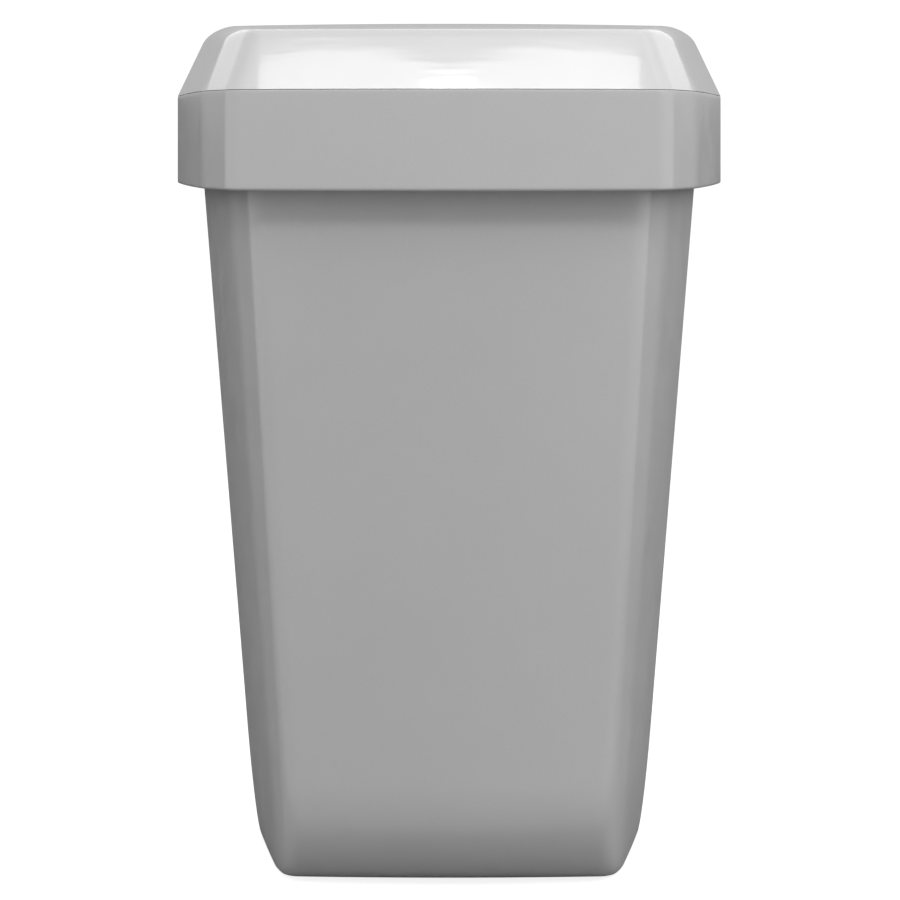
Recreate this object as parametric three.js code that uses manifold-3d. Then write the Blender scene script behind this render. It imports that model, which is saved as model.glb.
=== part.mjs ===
// A free-standing waste-paper bin: a tapered tub, a bag ring in its mouth and a hood hinged at the back.
// Millimetres. +X is to the right, +Y to the back, +Z up. The origin is on the floor, midway across and
// midway from the front to the back of the hood.

import * as THREE from 'three';
import { mergeVertices } from 'three/addons/utils/BufferGeometryUtils.js';
import Module from 'manifold-3d';

const wasm = await Module();
wasm.setup();

// Driving dimensions

// The hood's outline, seen from above. The width at the back is that of the two sides' curves at the back
// edge, before its corners are rounded. The angles are a face's turn from the front and the sides' flare.
const overallDepth = 291;
const frontRadius = 734;
const frontFlatWidth = 288.8;
const cornerFaceTurn = 65.3;
const frontCornerRounding = 7.3;
const widthAtBack = 443.4;
const sideRadius = 2220;
const sideFlare = 8.7;
const rearCornerRadius = 29;
const creaseRadius = 1.5;

// Heights
const overallHeight = 623.7;
const collarHeight = 69.2;
const lidRise = 54.7;

// Tub
const collarOverhang = 19.7;
const taperRatio = 0.074;
const tubWall = 2.8;
const tubFloor = 4;
const footRise = 80;
const frontFootInset = 42;
const cornerFootInset = 8.7;
const sideFootInset = 3.1;
const rearFootInset = 8;
const footFrontRadius = 12000;
const rimBelowCollarTop = 22.5;
const rimEdgeInset = 9;
const rimThickness = 3;
const rimLipHeight = 12;
const rimLipWall = 2.4;
const rimRounding = 1;

// Collar
const collarWall = 2.5;
const collarEdgeRadius = 2;
const shelfDepth = 10;
const shelfThickness = 2.5;
const shelfInnerInset = 13.4;

// Lid
const lidWall = 2.2;
const seam = 0.3;
const slopeRatio = 0.455;
const topEdgeRadius = 11;
const crownTopFromFront = 246;
const crownRadiusFrontToBack = 2000;
const crownRadiusSideToSide = 8000;
const crownFlatInset = 60;
const bossRadius = 4.2;
const bossInset = 8.6;

// Bag ring
const ringOuterInset = 17.2;
const ringInnerInset = 26;
const ringThickness = 2.5;
const ringSkirtWall = 2.2;
const ringSkirtDepth = 22;
const bagGap = 1;
const tabLength = 46;
const tabReach = 13;
const tabSlotLength = 28;
const tabSlotWidth = 7;

// Hinge
const hingeHalfSpacing = 110;
const hingeAxisInset = 7;
const hingeAxisAboveEdge = 6;
const hingeOpening = 100;
const barrelRadius = 5.5;
const barrelLength = 14;
const earThickness = 4;
const earBlockHeight = 16;
const hingeGap = 0.4;
const notchClearance = 3.5;
const heelWidth = 5;
const plateWidth = 36;
const plateThickness = 3;
const plateTopAboveAxis = 4;
const plateBottomBelowAxis = 42;
const armDrop = 16;
const pinRadius = 2.5;
const pinHeadRadius = 4.2;
const pinHeadThickness = 1.5;
const capThickness = 2.5;
const boltSpacing = 20;
const boltBelowAxis = 30;

// Fasteners
const boltRadius = 2.5;
const boltHeadRadius = 4.5;
const boltHeadHeight = 2.6;
const nutAcrossCorners = 9.2;
const nutHeight = 4;
const boltOverrun = 1.5;
const lidScrewRadius = 2;
const lidScrewHeadRadius = 3.6;
const lidScrewHeadHeight = 2.2;
const lidScrewLength = 14;
const recessRadius = 1.3;
const recessDepth = 1.2;

// Buffers and feet
const bufferRadius = 2.6;
const bufferInset = 10.6;
const bufferStemRadius = 1.6;
const padRadius = 11;
const padThickness = 3;
const padProud = 1;
const padEdge = 16;

// Clearances
const clearance = 0.3;
const boreClearance = 0.3;
const cutOverrun = 1;

// Directions round the outline, in degrees from the front, where screws and buffers sit
const lidScrewDirections = [28, 96, 150];
const bufferDirections = [14, 80];

// Facets
const frontSteps = 5;
const cornerSteps = 4;
const faceSteps = 2;
const sideSteps = 4;
const rearCornerSteps = 4;
const backSteps = 3;
const cornerSpreadShare = 1.1;
const rearSpreadShare = 0.8;
const footSteps = 7;
const wallSteps = 3;
const edgeSteps = 3;
const slopeSteps = 6;
const topSteps = 6;
const crownMiddleShares = [0.75, 0.5, 0.25];
const roundSides = 16;
const nutSides = 6;
const searchSteps = 40;

// Sizes worked out from the driving dimensions

const halfWidth = widthAtBack / 2;
const frontEdge = -overallDepth / 2;
const backEdge = overallDepth / 2;
const collarTop = overallHeight - lidRise;
const collarLowerEdge = collarTop - collarHeight;
const shelfTop = collarTop - shelfDepth;
const shelfBottom = shelfTop - shelfThickness;
const rimTop = collarTop - rimBelowCollarTop;
const tubBase = padProud;
const tubInsideFloor = tubBase + tubFloor;
const slopeAngle = Math.atan(slopeRatio);
const axisY = backEdge - hingeAxisInset;
const axisZ = collarLowerEdge + hingeAxisAboveEdge;
const earRadius = Math.min(hingeAxisInset, hingeAxisAboveEdge);
const pinBoreRadius = pinRadius + boreClearance;

// Small helpers

function bisect(isInside, low, high) {
  let inside = low;
  let outside = high;
  for (let step = 0; step < searchSteps; step += 1) {
    const middle = (inside + outside) / 2;
    if (isInside(middle)) {
      inside = middle;
    } else {
      outside = middle;
    }
  }
  return inside;
}

// The smaller of two depths, with the corner between them rounded.
function roundedMin(first, second, radius) {
  const firstShort = Math.max(radius - first, 0);
  const secondShort = Math.max(radius - second, 0);
  return Math.max(radius, Math.min(first, second)) - Math.hypot(firstShort, secondShort);
}

function evenly(from, to, steps) {
  return Array.from({ length: steps + 1 }, (_, index) => from + ((to - from) * index) / steps);
}

// The outline seen from above: a bowed front, a straight face at each front corner, flared sides and a
// flat back

const faceTurn = THREE.MathUtils.degToRad(cornerFaceTurn);
const flare = THREE.MathUtils.degToRad(sideFlare);
const sideCentreX = halfWidth - sideRadius * Math.cos(flare);
const sideCentreY = backEdge + sideRadius * Math.sin(flare);

function frontDepth(x, y) {
  return frontRadius - Math.hypot(x, y - frontEdge - frontRadius);
}

function cornerDepth(x, y) {
  return (frontFlatWidth / 2 - Math.abs(x)) * Math.sin(faceTurn) + (y - frontEdge) * Math.cos(faceTurn);
}

function sideDepth(x, y) {
  return sideRadius - Math.hypot(Math.abs(x) - sideCentreX, y - sideCentreY);
}

// How far a point lies inside the front and its corner faces, each drawn in by its own inset.
function frontAndCornerDepth(x, y, inset) {
  const front = frontDepth(x, y) - inset.front + inset.straightening * x ** 2;
  return roundedMin(front, cornerDepth(x, y) - inset.corner, frontCornerRounding);
}

function sideAndBackDepth(x, y, inset) {
  return roundedMin(sideDepth(x, y) - inset.side, backEdge - y - inset.back, rearCornerRadius);
}

function outlineDepth(x, y, inset) {
  return roundedMin(frontAndCornerDepth(x, y, inset), sideAndBackDepth(x, y, inset), creaseRadius);
}

const evenInset = (inset) => ({ front: inset, corner: inset, side: inset, back: inset, straightening: 0 });

// The point of an outline that lies in a direction from the middle. Directions count from the front.
function outlinePoint(direction, inset) {
  const x = Math.sin(direction);
  const y = -Math.cos(direction);
  const reach = bisect((r) => outlineDepth(x * r, y * r, inset) > 0, 0, widthAtBack);
  return new THREE.Vector2(x * reach, y * reach);
}

// The direction in which the outline passes from one of its stretches to the next.
function changeDirection(inset, isBefore, from) {
  return bisect((direction) => {
    const point = outlinePoint(direction, inset);
    return isBefore(point.x, point.y);
  }, from, Math.PI);
}

// Directions of the points of one half outline, closer together round the front and the rear corner. One
// lies on the crease, where the corner face meets the side.
function halfDirections(inset) {
  const corner = changeDirection(inset, (x, y) => (
    frontDepth(x, y) - inset.front + inset.straightening * x ** 2 < cornerDepth(x, y) - inset.corner
  ), 0);
  const crease = changeDirection(inset, (x, y) => (
    cornerDepth(x, y) - inset.corner < sideDepth(x, y) - inset.side
  ), corner);
  const rear = changeDirection(inset, (x, y) => (
    sideDepth(x, y) - inset.side < backEdge - y - inset.back
  ), crease);
  const cornerSpread = (frontCornerRounding * cornerSpreadShare) / outlinePoint(corner, inset).length();
  const rearSpread = (rearCornerRadius * rearSpreadShare) / outlinePoint(rear, inset).length();
  return [
    ...evenly(0, corner - cornerSpread, frontSteps),
    ...evenly(corner - cornerSpread, corner + cornerSpread, cornerSteps).slice(1),
    ...evenly(corner + cornerSpread, crease, faceSteps).slice(1),
    ...evenly(crease, rear - rearSpread, sideSteps).slice(1),
    ...evenly(rear - rearSpread, rear + rearSpread, rearCornerSteps).slice(1),
    ...evenly(rear + rearSpread, Math.PI, backSteps).slice(1),
  ];
}

// One closed ring of points. The height is a number, or a function of x and y.
function ring(inset, height) {
  const half = halfDirections(inset);
  const directions = [...half, ...half.slice(1, -1).map((direction) => -direction).reverse()];
  return directions.map((direction) => {
    const point = outlinePoint(direction, inset);
    const z = typeof height === 'function' ? height(point.x, point.y) : height;
    return new THREE.Vector3(point.x, point.y, z);
  });
}

const evenRing = (inset, height) => ring(evenInset(inset), height);

// Solids

// Joins rings into a closed surface: the first and last ring are capped, or joined when looped is set.
function loft(rings, looped, firstMiddle, lastMiddle) {
  const count = rings[0].length;
  const points = rings.flat();
  const faces = [];
  const bands = looped ? rings.length : rings.length - 1;
  for (let band = 0; band < bands; band += 1) {
    const lower = band * count;
    const upper = ((band + 1) % rings.length) * count;
    for (let index = 0; index < count; index += 1) {
      const next = (index + 1) % count;
      faces.push(lower + index, lower + next, upper + next);
      faces.push(lower + index, upper + next, upper + index);
    }
  }
  if (!looped) {
    const last = (rings.length - 1) * count;
    const firstCentre = points.length;
    const lastCentre = firstCentre + 1;
    points.push(firstMiddle, lastMiddle);
    for (let index = 0; index < count; index += 1) {
      const next = (index + 1) % count;
      faces.push(firstCentre, next, index);
      faces.push(lastCentre, last + index, last + next);
    }
  }
  const geometry = new THREE.BufferGeometry();
  geometry.setAttribute('position', new THREE.Float32BufferAttribute(points.flatMap((p) => p.toArray()), 3));
  geometry.setIndex(faces);
  return geometry;
}

function solidOf(geometry) {
  const plain = geometry.clone();
  plain.deleteAttribute('normal');
  plain.deleteAttribute('uv');
  const merged = mergeVertices(plain);
  const vertProperties = new Float32Array(merged.attributes.position.array);
  const triVerts = new Uint32Array(merged.index.array);
  return new wasm.Manifold(new wasm.Mesh({ numProp: 3, vertProperties, triVerts }));
}

function geometryOf(solid) {
  const mesh = solid.getMesh();
  const geometry = new THREE.BufferGeometry();
  geometry.setAttribute('position', new THREE.Float32BufferAttribute(mesh.vertProperties, 3));
  geometry.setIndex(Array.from(mesh.triVerts));
  return geometry;
}

function joined(base, additions) {
  return geometryOf(additions.reduce((solid, added) => solid.add(solidOf(added)), solidOf(base)));
}

function cutBy(base, cutters) {
  return geometryOf(cutters.reduce((solid, cutter) => solid.subtract(solidOf(cutter)), solidOf(base)));
}

// A solid turned round the Z axis from a profile of [radius, height] pairs.
function turned(profile, sides = roundSides) {
  const points = profile.map(([radius, height]) => new THREE.Vector2(radius, height));
  return new THREE.LatheGeometry(points, sides).rotateX(Math.PI / 2);
}

function rod(radius, from, to, sides = roundSides) {
  return turned([[0, from], [radius, from], [radius, to], [0, to]], sides);
}

// A flat profile in the YZ plane, given as a shape of (y, z), made thick along X about the middle.
function slab(shape, thickness) {
  const settings = { depth: thickness, bevelEnabled: false, curveSegments: roundSides };
  const geometry = new THREE.ExtrudeGeometry(shape, settings);
  const turn = new THREE.Matrix4().set(0, 0, 1, -thickness / 2, 1, 0, 0, 0, 0, 1, 0, 0, 0, 0, 0, 1);
  return geometry.applyMatrix4(turn);
}

function block(width, depth, height) {
  return new THREE.BoxGeometry(width, depth, height);
}

// The group and its materials

const bin = new THREE.Group();
bin.name = 'waste_paper_bin';

const finishes = {
  body: { color: 0xcacaca, roughness: 0.5, metalness: 0 },
  gloss: { color: 0xdadada, roughness: 0.12, metalness: 0 },
  bracket: { color: 0x999999, roughness: 0.6, metalness: 0 },
  ring: { color: 0x5a5a5b, roughness: 0.6, metalness: 0 },
  steel: { color: 0xc4c6c8, roughness: 0.35, metalness: 1 },
  rubber: { color: 0x3a3a3c, roughness: 0.85, metalness: 0 },
};

function addPart(name, geometry, finish, position) {
  const mesh = new THREE.Mesh(geometry, new THREE.MeshStandardMaterial(finishes[finish]));
  mesh.name = name;
  if (position) {
    mesh.position.copy(position);
  }
  bin.add(mesh);
  return mesh;
}

const sides = [
  { name: 'left', sign: -1 },
  { name: 'right', sign: 1 },
];

// Tub

const wallInset = (height) => collarOverhang + taperRatio * (collarLowerEdge - height);

// The foot curves in as a quarter ellipse and straightens the front: both grow from nothing at its top.
function tubInsets(height, base, offset) {
  const inset = wallInset(height) + offset;
  const downShare = THREE.MathUtils.clamp((footRise - (height - base)) / footRise, 0, 1);
  const curveShare = 1 - Math.sqrt(1 - downShare ** 2);
  return {
    front: inset + frontFootInset * curveShare,
    corner: inset + cornerFootInset * curveShare,
    side: inset + sideFootInset * curveShare,
    back: inset + rearFootInset * curveShare,
    straightening: (1 / frontRadius - 1 / footFrontRadius) * (curveShare / 2),
  };
}

// Heights up the foot, close together at the base where it curves most.
function footHeights(base, steps) {
  return evenly(0, Math.PI / 2, steps).map((angle) => base + footRise * (1 - Math.cos(angle)));
}

function tubGeometry() {
  const rimUnderside = rimTop - rimThickness;
  const lipInner = rimEdgeInset + rimLipWall;
  const outerFoot = footHeights(tubBase, footSteps).map((z) => ring(tubInsets(z, tubBase, 0), z));
  const outerWall = evenly(tubBase + footRise, rimUnderside, wallSteps).slice(1)
    .map((z) => ring(tubInsets(z, tubBase, 0), z));
  const rim = [
    evenRing(lipInner, rimUnderside),
    evenRing(lipInner, rimTop - rimLipHeight),
    evenRing(rimEdgeInset, rimTop - rimLipHeight),
    evenRing(rimEdgeInset, rimTop - rimRounding),
    evenRing(rimEdgeInset + rimRounding, rimTop),
  ];
  const innerWall = evenly(rimTop, tubInsideFloor + footRise, wallSteps)
    .map((z) => ring(tubInsets(z, tubInsideFloor, tubWall), z));
  const innerFoot = footHeights(tubInsideFloor, footSteps).reverse().slice(1)
    .map((z) => ring(tubInsets(z, tubInsideFloor, tubWall), z));
  const rings = [...outerFoot, ...outerWall, ...rim, ...innerWall, ...innerFoot];
  return loft(rings, false, new THREE.Vector3(0, 0, tubBase), new THREE.Vector3(0, 0, tubInsideFloor));
}

// Pads under the base, in shallow pockets, a fixed distance in from the base's edge
const baseInsets = tubInsets(tubBase, tubBase, 0);
const baseFront = outlinePoint(0, baseInsets).y;
const baseBack = outlinePoint(Math.PI, baseInsets).y;
const padRows = [
  { name: 'front', y: baseFront + padEdge },
  { name: 'rear', y: baseBack - padEdge },
];
const padPlaces = padRows.flatMap((row) => sides.map((side) => {
  const edge = bisect((x) => outlineDepth(x, row.y, baseInsets) > 0, 0, halfWidth);
  return { name: `foot_${row.name}_${side.name}`, x: side.sign * (edge - padEdge), y: row.y };
}));
const padPocketTop = padThickness + clearance;

const padPockets = padPlaces.map((place) => (
  rod(padRadius + clearance, tubBase - cutOverrun, padPocketTop).translate(place.x, place.y, 0)
));

// Hinge bracket, whose plate lies on the tub's tapered back wall

const wallPlaneY = (height) => backEdge - wallInset(height);
const plateInnerY = (height) => wallPlaneY(height) + clearance;
const plateOuterY = (height) => plateInnerY(height) + plateThickness;
const plateTop = axisZ + plateTopAboveAxis;
const plateBottom = axisZ - plateBottomBelowAxis;
const boltZ = axisZ - boltBelowAxis;
const wallAngle = Math.atan(taperRatio);

// Turns a shape drawn up the Z axis to point out of the back wall, square to it, at the bolts' height.
function onBackWall(geometry, x) {
  return geometry.rotateX(-Math.PI / 2 - wallAngle).translate(x, wallPlaneY(boltZ), boltZ);
}

function bracketGeometry(x) {
  const plateShape = new THREE.Shape([
    new THREE.Vector2(plateInnerY(plateBottom), plateBottom),
    new THREE.Vector2(plateOuterY(plateBottom), plateBottom),
    new THREE.Vector2(plateOuterY(plateTop), plateTop),
    new THREE.Vector2(plateInnerY(plateTop), plateTop),
  ]);
  const armShape = new THREE.Shape();
  armShape.moveTo(plateOuterY(axisZ - armDrop) - plateThickness / 2, axisZ - armDrop);
  armShape.lineTo(axisY, axisZ - barrelRadius);
  armShape.absarc(axisY, axisZ, barrelRadius, -Math.PI / 2, Math.PI / 2, false);
  armShape.lineTo(plateOuterY(plateTop) - plateThickness / 2, plateTop);
  armShape.closePath();
  const body = joined(slab(plateShape, plateWidth), [slab(armShape, barrelLength)]);
  const pinBore = rod(pinBoreRadius, -plateWidth, plateWidth).rotateY(Math.PI / 2).translate(0, axisY, axisZ);
  const boltBores = [-1, 1].map((sign) => (
    onBackWall(rod(boltRadius + boreClearance, -boltHeadRadius, boltHeadRadius * 2), (sign * boltSpacing) / 2)
  ));
  return cutBy(body, [pinBore, ...boltBores]).translate(x, 0, 0);
}

// Round-headed bolt through the bracket and the tub's wall, drawn with its head towards +Z
const boltGrip = plateThickness + clearance * 2;
const boltEnd = -(tubWall + clearance + nutHeight + boltOverrun);

function boltGeometry() {
  const headEdge = boltHeadHeight / 2;
  const profile = [
    [0, boltEnd], [boltRadius, boltEnd], [boltRadius, boltGrip], [boltHeadRadius, boltGrip],
    [boltHeadRadius, boltGrip + headEdge], [boltHeadRadius - headEdge, boltGrip + boltHeadHeight],
    [recessRadius, boltGrip + boltHeadHeight], [recessRadius, boltGrip + boltHeadHeight - recessDepth],
    [0, boltGrip + boltHeadHeight - recessDepth],
  ];
  return turned(profile);
}

function nutGeometry() {
  const top = -(tubWall + clearance);
  const nut = rod(nutAcrossCorners / 2, top - nutHeight, top, nutSides);
  return cutBy(nut, [rod(boltRadius + boreClearance, top - nutHeight - cutOverrun, top + cutOverrun)]);
}

const boltPlaces = sides.flatMap((side) => [
  { name: `${side.name}_outer`, x: side.sign * (hingeHalfSpacing + boltSpacing / 2) },
  { name: `${side.name}_inner`, x: side.sign * (hingeHalfSpacing - boltSpacing / 2) },
]);
const tubBoltBores = boltPlaces.map((place) => (
  onBackWall(rod(boltRadius + boreClearance, -tubWall * 2, tubWall), place.x)
));

addPart('tub', cutBy(tubGeometry(), [...padPockets, ...tubBoltBores]), 'body');

for (const place of padPlaces) {
  const pad = rod(padRadius, 0, padThickness);
  addPart(place.name, pad, 'rubber', new THREE.Vector3(place.x, place.y, 0));
}

for (const side of sides) {
  addPart(`hinge_bracket_${side.name}`, bracketGeometry(side.sign * hingeHalfSpacing), 'bracket');
}

for (const place of boltPlaces) {
  addPart(`bracket_bolt_${place.name}`, onBackWall(boltGeometry(), place.x), 'steel');
  addPart(`bracket_nut_${place.name}`, onBackWall(nutGeometry(), place.x), 'steel');
}

// Hinge pins, each with a head on the outside and a push-on cap on the inside
const earInner = barrelLength / 2 + hingeGap;
const earOuter = earInner + earThickness;
const pinHeadFace = earOuter + clearance;
const pinEnd = earOuter + clearance + capThickness;

for (const side of sides) {
  const pinProfile = [
    [0, -pinEnd], [pinRadius, -pinEnd], [pinRadius, pinHeadFace], [pinHeadRadius, pinHeadFace],
    [pinHeadRadius, pinHeadFace + pinHeadThickness], [0, pinHeadFace + pinHeadThickness],
  ];
  const capBase = -(earOuter + clearance);
  const capProfile = [
    [pinRadius + clearance, capBase], [pinRadius + clearance, capBase - capThickness],
    [pinHeadRadius, capBase - capThickness], [pinHeadRadius, capBase], [pinRadius + clearance, capBase],
  ];
  const place = new THREE.Vector3(side.sign * hingeHalfSpacing, axisY, axisZ);
  const turn = (side.sign * Math.PI) / 2;
  addPart(`hinge_pin_${side.name}`, turned(pinProfile).rotateY(turn), 'steel', place);
  addPart(`hinge_pin_cap_${side.name}`, turned(capProfile).rotateY(turn), 'steel', place);
}

// Collar, a closed band with a shelf inside that carries the lid

function collarBand() {
  const edgeArc = evenly(0, Math.PI / 2, edgeSteps).map((angle) => evenRing(
    collarEdgeRadius * (1 - Math.sin(angle)),
    collarLowerEdge + collarEdgeRadius * (1 - Math.cos(angle)),
  ));
  return loft([
    ...edgeArc,
    evenRing(0, collarTop),
    evenRing(collarWall, collarTop),
    evenRing(collarWall, shelfTop),
    evenRing(shelfInnerInset, shelfTop),
    evenRing(shelfInnerInset, shelfBottom),
    evenRing(collarWall, shelfBottom),
    evenRing(collarWall, collarLowerEdge),
  ], true);
}

// Where a point of the fixed bracket lies in the closed hood's own place, when the hood stands open
function seenFromOpenHood(y, z) {
  const turn = THREE.MathUtils.degToRad(hingeOpening);
  const fromAxisY = y - axisY;
  const fromAxisZ = z - axisZ;
  return new THREE.Vector2(
    axisY + fromAxisY * Math.cos(turn) - fromAxisZ * Math.sin(turn),
    axisZ + fromAxisY * Math.sin(turn) + fromAxisZ * Math.cos(turn),
  );
}

// The ear's heel meets the bracket's plate and stops the hood at its full opening.
function earShape() {
  const stopHigh = seenFromOpenHood(plateOuterY(axisZ) + clearance, axisZ);
  const stopLow = seenFromOpenHood(plateOuterY(axisZ - heelWidth) + clearance, axisZ - heelWidth);
  const heelInnerY = backEdge - heelWidth;
  const stopHeight = (y) => {
    const share = (y - stopHigh.x) / (stopLow.x - stopHigh.x);
    return stopHigh.y + share * (stopLow.y - stopHigh.y);
  };
  const shape = new THREE.Shape();
  shape.moveTo(axisY - earRadius, axisZ);
  shape.absarc(axisY, axisZ, earRadius, Math.PI, Math.PI * 1.5, false);
  shape.lineTo(heelInnerY, stopHeight(heelInnerY));
  shape.lineTo(backEdge, stopHeight(backEdge));
  shape.lineTo(backEdge, axisZ + earBlockHeight);
  shape.lineTo(backEdge - collarWall, axisZ + earBlockHeight);
  shape.closePath();
  return shape;
}

// Places round the collar for the lid's screws and the buffers
function placesRound(name, directionList, inset) {
  return directionList.flatMap((degrees, row) => sides.map((side) => {
    const point = outlinePoint(side.sign * THREE.MathUtils.degToRad(degrees), evenInset(inset));
    return { name: `${name}_${side.name}_${row + 1}`, x: point.x, y: point.y };
  }));
}

const lidScrewPlaces = placesRound('lid_screw', lidScrewDirections, bossInset);
const bufferPlaces = placesRound('buffer', bufferDirections, bufferInset);

function collarGeometry() {
  const ears = sides.flatMap((side) => [-1, 1].map((half) => {
    const middle = half * (earInner + earThickness / 2);
    return slab(earShape(), earThickness).translate(side.sign * hingeHalfSpacing + middle, 0, 0);
  }));
  const notchTop = axisZ + barrelRadius + notchClearance;
  const notchBottom = collarLowerEdge - cutOverrun;
  const notches = sides.map((side) => (
    block(earInner * 2, collarWall + cutOverrun * 2, notchTop - notchBottom)
      .translate(side.sign * hingeHalfSpacing, backEdge - collarWall / 2, (notchTop + notchBottom) / 2)
  ));
  const pinBores = sides.map((side) => (
    rod(pinBoreRadius, -earOuter - cutOverrun, earOuter + cutOverrun).rotateY(Math.PI / 2)
      .translate(side.sign * hingeHalfSpacing, axisY, axisZ)
  ));
  const screwBores = lidScrewPlaces.map((place) => (
    rod(lidScrewRadius + boreClearance, shelfBottom - cutOverrun, shelfTop + cutOverrun)
      .translate(place.x, place.y, 0)
  ));
  const stemBores = bufferPlaces.map((place) => (
    rod(bufferStemRadius + clearance, shelfBottom - cutOverrun, shelfTop + cutOverrun)
      .translate(place.x, place.y, 0)
  ));
  const band = joined(collarBand(), ears);
  return cutBy(band, [...notches, ...pinBores, ...screwBores, ...stemBores]);
}

addPart('collar', collarGeometry(), 'body');

// Lid, a dome with one slope round the front and the sides and a crowned top

function crownHeight(x, y) {
  const behindTop = y - frontEdge - crownTopFromFront;
  return lidRise - behindTop ** 2 / (2 * crownRadiusFrontToBack) - x ** 2 / (2 * crownRadiusSideToSide);
}

// How deep a point lies under the dome's surface. Its height counts from the collar's top edge.
function domeDepth(x, y, height) {
  const slope = evenInset(slopeRatio * height);
  const square = Math.cos(slopeAngle);
  const front = frontAndCornerDepth(x, y, slope) * square;
  const around = sideAndBackDepth(x, y, slope) * square;
  const top = crownHeight(x, y) - height;
  return roundedMin(front, roundedMin(around, top, topEdgeRadius), creaseRadius);
}

const domeHeight = (x, y, depth) => (
  bisect((height) => domeDepth(x, y, height) > depth, -shelfDepth, lidRise)
);

// Insets of the dome's rings: even steps up the slope, then wider and wider ones across the top.
const slopeInset = slopeRatio * lidRise;

function domeInsets(from) {
  const up = evenly(from, slopeInset, slopeSteps);
  const across = evenly(0, 1, topSteps).slice(1).map((share) => (
    slopeInset + (crownFlatInset - slopeInset) * share ** 2
  ));
  return [...up, ...across];
}

// Rings up the slope and across the top, then smaller copies of the last one towards the middle.
function domeRings(from, heightAt) {
  const rings = domeInsets(from).map((inset) => evenRing(inset, heightAt));
  const last = rings[rings.length - 1];
  const smaller = crownMiddleShares.map((share) => last.map((point) => {
    const x = point.x * share;
    const y = point.y * share;
    return new THREE.Vector3(x, y, heightAt(x, y));
  }));
  return [...rings, ...smaller];
}

function domeShell() {
  const surface = (depth) => (x, y) => collarTop + domeHeight(x, y, depth);
  const tongueOuter = collarWall + clearance;
  const tongueInner = tongueOuter + lidWall;
  const tongueEnd = shelfTop + clearance;
  const lowerEdge = collarTop + seam;
  return loft(
    [
      ...domeRings(tongueInner, surface(lidWall)).reverse(),
      evenRing(tongueInner, tongueEnd),
      evenRing(tongueOuter, tongueEnd),
      evenRing(tongueOuter, lowerEdge),
      ...domeRings(slopeRatio * seam, surface(0)),
    ],
    false,
    new THREE.Vector3(0, 0, surface(lidWall)(0, 0)),
    new THREE.Vector3(0, 0, surface(0)(0, 0)),
  );
}

// The space under the dome's skin, which trims the screw bosses to its slope.
function domeFilling() {
  const skinMiddle = (x, y) => collarTop + domeHeight(x, y, lidWall / 2);
  const wallMiddle = collarWall + clearance + lidWall / 2;
  const rings = [
    evenRing(wallMiddle, shelfTop + clearance),
    ...domeRings(wallMiddle, skinMiddle),
  ];
  const bottom = new THREE.Vector3(0, 0, shelfTop + clearance);
  return loft(rings, false, bottom, new THREE.Vector3(0, 0, skinMiddle(0, 0)));
}

function lidGeometry() {
  const filling = solidOf(domeFilling());
  const bossBase = shelfTop + clearance;
  const bosses = lidScrewPlaces.map((place) => {
    const post = rod(bossRadius, bossBase, collarTop + lidRise).translate(place.x, place.y, 0);
    return solidOf(post).intersect(filling);
  });
  const pilotTop = bossBase + lidScrewLength - shelfThickness;
  const pilots = lidScrewPlaces.map((place) => (
    rod(lidScrewRadius + boreClearance, bossBase - cutOverrun, pilotTop).translate(place.x, place.y, 0)
  ));
  const shell = bosses.reduce((solid, boss) => solid.add(boss), solidOf(domeShell()));
  return cutBy(geometryOf(shell), pilots);
}

addPart('lid', lidGeometry(), 'gloss');

for (const place of lidScrewPlaces) {
  const headFace = shelfBottom - clearance;
  const headBottom = headFace - lidScrewHeadHeight;
  const profile = [
    [0, headBottom + recessDepth], [recessRadius, headBottom + recessDepth], [recessRadius, headBottom],
    [lidScrewHeadRadius, headBottom], [lidScrewHeadRadius, headFace], [lidScrewRadius, headFace],
    [lidScrewRadius, headFace + lidScrewLength - clearance], [0, headFace + lidScrewLength - clearance],
  ];
  addPart(place.name, turned(profile), 'steel', new THREE.Vector3(place.x, place.y, 0));
}

// Buffers under the collar's shelf, which rest on the tub's rim when the hood is closed
for (const place of bufferPlaces) {
  const profile = [
    [0, rimTop + clearance], [bufferRadius, rimTop + clearance], [bufferRadius, shelfBottom - clearance],
    [bufferStemRadius, shelfBottom - clearance], [bufferStemRadius, shelfTop], [0, shelfTop],
  ];
  addPart(place.name, turned(profile), 'rubber', new THREE.Vector3(place.x, place.y, 0));
}

// Bag ring, which rests on the tub's rim and holds the bag against the inside of the wall

function bagRingGeometry() {
  const seat = rimTop + clearance;
  const top = seat + ringThickness;
  const skirtBottom = rimTop - ringSkirtDepth;
  const skirtOuter = (height) => wallInset(height) + tubWall + bagGap;
  const skirtInner = (height) => skirtOuter(height) + ringSkirtWall;
  const band = loft([
    evenRing(skirtOuter(skirtBottom), skirtBottom),
    evenRing(skirtOuter(rimTop), seat),
    evenRing(ringOuterInset, seat),
    evenRing(ringOuterInset, top),
    evenRing(ringInnerInset, top),
    evenRing(ringInnerInset, seat),
    evenRing(skirtInner(rimTop), seat),
    evenRing(skirtInner(skirtBottom), skirtBottom),
  ], true);
  const innerX = bisect((x) => outlineDepth(x, 0, evenInset(ringInnerInset)) > 0, 0, halfWidth);
  const tabs = sides.map((side) => (
    block(tabReach + ringThickness, tabLength, ringThickness)
      .translate(side.sign * (innerX - tabReach / 2 + ringThickness / 2), 0, (seat + top) / 2)
  ));
  const slots = sides.map((side) => (
    block(tabSlotWidth, tabSlotLength, ringThickness + cutOverrun * 2)
      .translate(side.sign * (innerX - tabReach / 2), 0, (seat + top) / 2)
  ));
  return cutBy(joined(band, tabs), slots);
}

addPart('bag_ring', bagRingGeometry(), 'ring');

export default bin;
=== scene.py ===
import math

import bmesh
import bpy
import numpy as np
from mathutils import Matrix, Vector


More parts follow.
